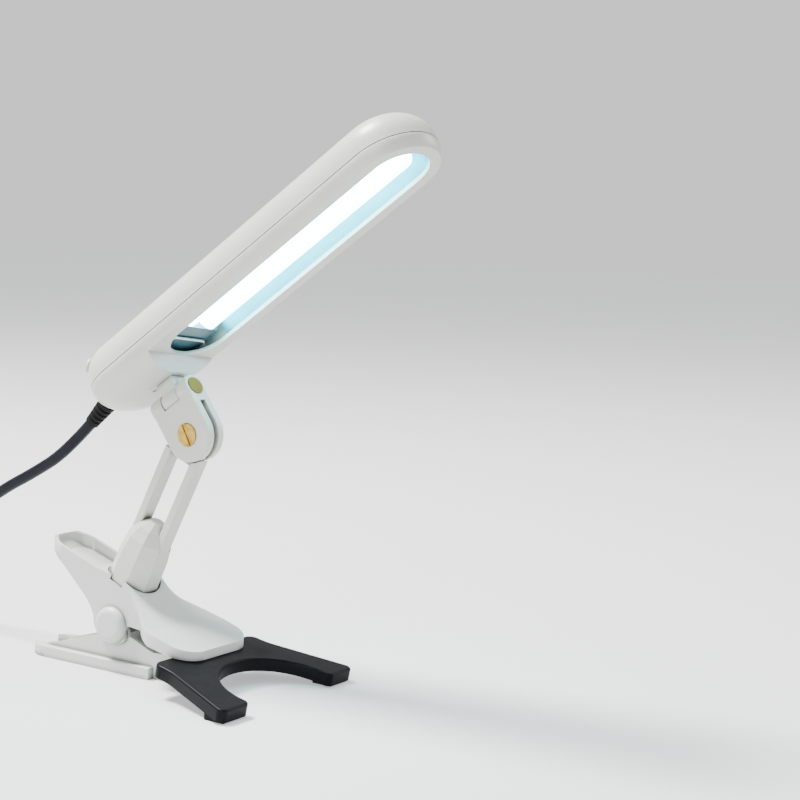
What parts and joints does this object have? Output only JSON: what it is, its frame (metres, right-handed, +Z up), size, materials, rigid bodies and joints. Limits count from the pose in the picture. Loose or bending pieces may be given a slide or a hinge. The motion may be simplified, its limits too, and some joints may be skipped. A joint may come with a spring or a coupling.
{
  "type": "uv curing lamp",
  "caption": "Slim UV curing lamp with a long capsule head over a window, on a tilting knuckle, twin-rail arm, spring clip and forked foot, with a mains lead and flat plug.",
  "frame": {"origin": "middle of the lamp's bounding box on the table, without the cord", "axes": "+X along the clip towards the jaws and the fork's tips, +Y across the clip, +Z up"},
  "size_m": [0.4828, 0.1159, 0.2848],
  "materials": {
    "white_plastic": "satin off-white moulded plastic",
    "white_clip": "satin off-white moulded plastic",
    "black_plastic": "satin black moulded plastic",
    "black_rubber": "matt black rubber",
    "grey_rubber": "matt grey rubber",
    "brass": "turned brass",
    "steel": "plated steel",
    "reflector": "bright reflector sheet",
    "lamp_glass": "clear quartz glass, lit violet-white",
    "lamp_base": "white moulded lamp base",
    "board": "green circuit board",
    "cord": "black flexible lead"
  },
  "bodies": {
    "base": {"fork_foot": "black_plastic", "foot_pads": "black_rubber", "lower_lever": "white_clip", "fork_screws": "steel", "clip_pin": "steel", "clip_spring": "steel"},
    "clip_top": {"upper_lever": "white_clip", "jaw_pad": "grey_rubber", "pivot_caps": "white_clip"},
    "arm": {"swivel_hub": "white_plastic", "arm_frame": "white_plastic", "swivel_screw": "steel", "swivel_washer": "steel"},
    "knuckle_part": {"knuckle": "white_plastic", "tilt_screw": "brass", "tilt_nut": "brass", "friction_washers": "steel", "roll_pin": "brass", "roll_nut": "brass"},
    "button": {"switch_button": "white_plastic"},
    "head": {"head_lug": "white_plastic", "lug_screws": "steel", "head_lower_shell": "white_plastic", "head_upper_shell": "white_plastic", "shell_screws": "steel", "switch_body": "black_plastic", "reflector": "reflector", "uv_tube": "lamp_glass", "tube_cap": "lamp_base", "tube_pins": "brass", "tube_socket": "lamp_base", "tube_bail": "steel", "ballast_board": "board", "ballast_parts": "black_plastic", "inner_leads": "cord", "strain_relief": "black_rubber", "cord_lead": "cord", "cord_coil": "cord", "cord_tail": "cord", "cord_tie": "black_rubber", "plug_body": "black_plastic", "plug_pins": "brass"}
  },
  "joints": [
    {"name": "clip_hinge", "type": "hinge", "parent": "base", "child": "clip_top", "pos_m": [-0.0535, 0, 0.0245], "axis": [0, -1, 0], "range_deg": [0, 24], "stiffness_Nm_per_rad": 1.2, "springref_deg": -34.38, "deforming": ["clip_spring"]},
    {"name": "arm_swivel", "type": "hinge", "parent": "clip_top", "child": "arm", "pos_m": [-0.0519, 0, 0.046], "axis": [0.4384, 0, 0.8988], "range_deg": [-60, 60]},
    {"name": "head_tilt", "type": "hinge", "parent": "arm", "child": "knuckle_part", "pos_m": [-0.01302, 0, 0.12572], "axis": [0, 1, 0], "range_deg": [-12, 70]},
    {"name": "head_roll", "type": "hinge", "parent": "knuckle_part", "child": "head", "pos_m": [-0.0248, 0, 0.14188], "axis": [0.808, 0, 0.5892], "range_deg": [-30, 30]},
    {"name": "button_press", "type": "slide", "parent": "head", "child": "button", "axis": [0.7866, 0.5545, -0.2716], "range_m": [0, 0.0015], "stiffness_N_per_m": 800, "springref_m": -0.001}
  ]
}
